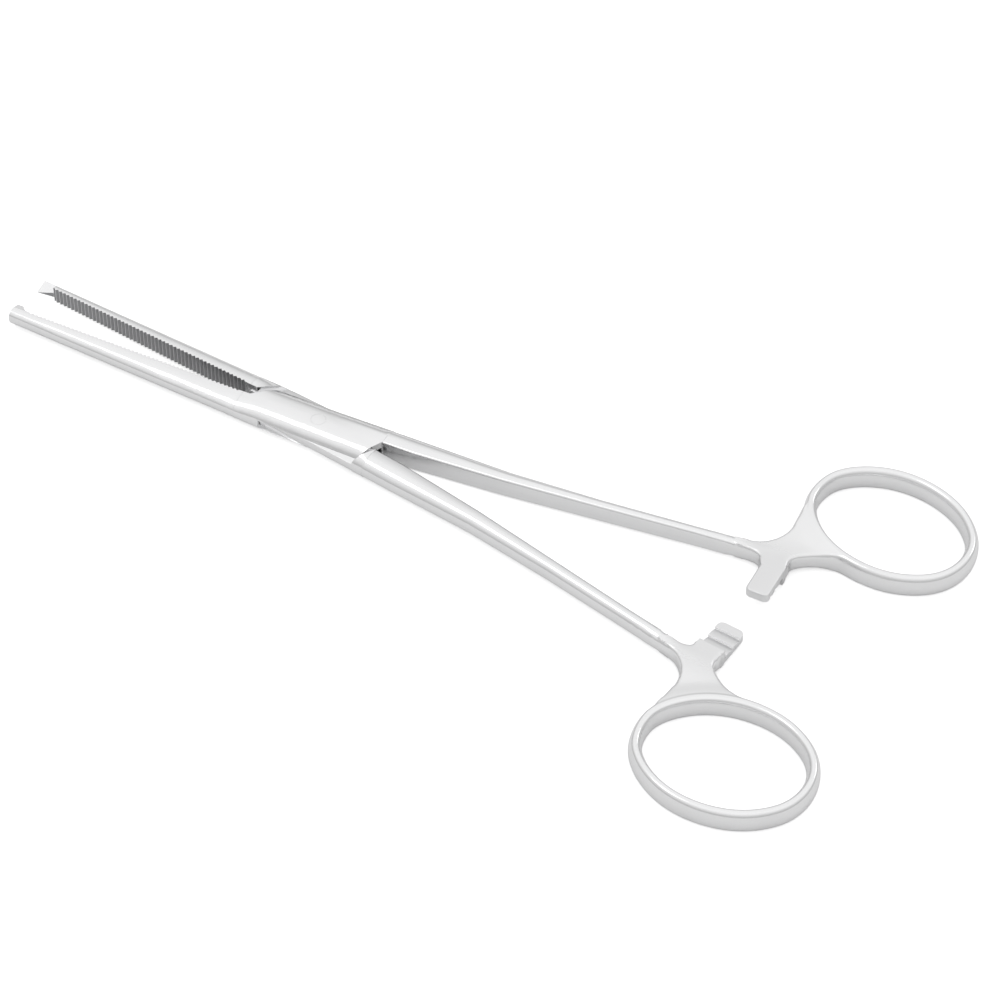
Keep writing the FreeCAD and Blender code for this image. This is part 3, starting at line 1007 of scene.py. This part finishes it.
@dataclass(frozen=True)
class Softbox:
    """A square area light.

    Attributes:
        name: Its name.
        place: Where it stands.
        size: Side of the square.
        watts: Its power.
    """

    name: str
    place: Triple
    size: float
    watts: float

    def build(self, target: Vector) -> None:
        """Sets the light up.

        Args:
            target: What it aims at.
        """
        lamp = bpy.data.lights.new(self.name, "AREA")
        lamp.size = self.size
        lamp.energy = self.watts
        place = Vector(self.place)
        aim = (target - place).to_track_quat("-Z", "Y")
        linked(self.name, lamp).matrix_world = Matrix.Translation(place) @ aim.to_matrix().to_4x4()


@dataclass
class Studio:
    """White floor, soft sky, two softboxes and the camera of the photograph.

    Attributes:
        floor_size: Side of the floor.
        floor_grey: Colour of the floor.
        floor_lift: Light that the floor gives off towards the camera alone.
        sky: Height in the sky and its brightness there.
        softboxes: The lamps.
        target: What camera and lamps aim at.
        azimuth: Where the camera stands round the target, in degrees.
        elevation: How high it stands, in degrees.
        roll: How far it is rolled, in degrees.
        distance: How far it stands.
        lens: Its focal length in millimetres.
        sensor: Width of its picture in millimetres.
    """

    floor_size: float = 6.0
    floor_grey: float = 0.8
    floor_lift: float = 0.55
    sky: tuple[Point, ...] = ((0.0, 0.40), (0.06, 0.48), (0.30, 0.66), (0.7, 0.91), (1.0, 0.97))
    softboxes: tuple[Softbox, ...] = (
        Softbox("key_softbox", (-0.35, -0.25, 0.9), 0.3, 0.5),
        Softbox("rim_softbox", (0.35, 0.75, 0.55), 0.25, 0.25),
    )
    target: Triple = (0.04067, 0.00162, 0.0025)
    azimuth: float = 30.74
    elevation: float = 45.92
    roll: float = 0.344
    distance: float = 0.6522
    lens: float = 121.67
    sensor: float = 36.0

    def floor(self) -> None:
        """A white floor that stays white to the camera and keeps a contact shadow."""
        bm = bmesh.new()
        bmesh.ops.create_grid(bm, x_segments=1, y_segments=1, size=self.floor_size / 2)
        floor = linked("floor", mesh_of(bm, "floor"))
        material = bpy.data.materials.new("white_floor")
        material.use_nodes = True
        tree = material.node_tree
        shader = tree.nodes["Principled BSDF"]
        shader.inputs["Base Color"].default_value = (*[self.floor_grey] * 3, 1.0)
        shader.inputs["Roughness"].default_value = 1.0
        shader.inputs["Specular IOR Level"].default_value = 0.0
        shader.inputs["Emission Color"].default_value = (1.0, 1.0, 1.0, 1.0)
        seen = add_node(tree, "ShaderNodeLightPath").outputs["Is Camera Ray"]
        lift = add_node(tree, "ShaderNodeMath", settings={"operation": "MULTIPLY"},
                        values={1: self.floor_lift}, links={0: seen})
        tree.links.new(lift.outputs["Value"], shader.inputs["Emission Strength"])
        floor.data.materials.append(material)

    def dome(self) -> None:
        """A pale sky, darker along the horizon, white behind everything for the camera."""
        world = bpy.data.worlds.new("studio")
        bpy.context.scene.world = world
        world.use_nodes = True
        tree = world.node_tree
        place = add_node(tree, "ShaderNodeTexCoord").outputs["Generated"]
        split = add_node(tree, "ShaderNodeSeparateXYZ", links={"Vector": place})
        shades = add_node(tree, "ShaderNodeValToRGB", links={"Fac": split.outputs["Z"]})
        stops = shades.color_ramp.elements
        while len(stops) < len(self.sky):
            stops.new(0.5)
        for stop, (height, level) in zip(stops, self.sky):
            stop.position = height
            stop.color = (level, level, level, 1.0)
        pale = tree.nodes["Background"]
        pale.inputs["Strength"].default_value = 1.0
        tree.links.new(shades.outputs["Color"], pale.inputs["Color"])
        white = add_node(tree, "ShaderNodeBackground", values={"Color": (1.0, 1.0, 1.0, 1.0)})
        seen = add_node(tree, "ShaderNodeLightPath").outputs["Is Camera Ray"]
        choose = add_node(tree, "ShaderNodeMixShader",
                          links={"Fac": seen, 1: pale.outputs["Background"], 2: white.outputs["Background"]})
        tree.links.new(choose.outputs["Shader"], tree.nodes["World Output"].inputs["Surface"])

    def camera(self) -> None:
        """The camera at the photograph's place."""
        a, e, r = (math.radians(v) for v in (self.azimuth, self.elevation, self.roll))
        back = Vector((math.sin(a) * math.cos(e), -math.cos(a) * math.cos(e), math.sin(e)))
        right = Vector(UP).cross(back).normalized()
        up = back.cross(right)
        across = right * math.cos(r) + up * math.sin(r)
        upward = back.cross(across)
        place = Vector(self.target) + back * self.distance
        data = bpy.data.cameras.new("camera")
        data.lens = self.lens
        data.sensor_width = self.sensor
        camera = linked("camera", data)
        camera.matrix_world = Matrix((
            (across.x, upward.x, back.x, place.x),
            (across.y, upward.y, back.y, place.y),
            (across.z, upward.z, back.z, place.z),
            (0.0, 0.0, 0.0, 1.0),
        ))
        bpy.context.scene.camera = camera

    def build(self) -> None:
        """Sets up floor, dome, lamps and camera."""
        self.floor()
        self.dome()
        for softbox in self.softboxes:
            softbox.build(Vector(self.target))
        self.camera()
        bpy.context.scene.view_settings.view_transform = "Standard"
        LOG.info("studio: floor, dome, %d softboxes, camera", len(self.softboxes))


def main() -> None:
    """Builds the forceps and the studio in order."""
    logging.basicConfig(level=logging.INFO)
    for half in Half:
        DressedHalf(half).build()
    PivotPin().dress()
    Studio().build()


if __name__ == "__main__":
    main()
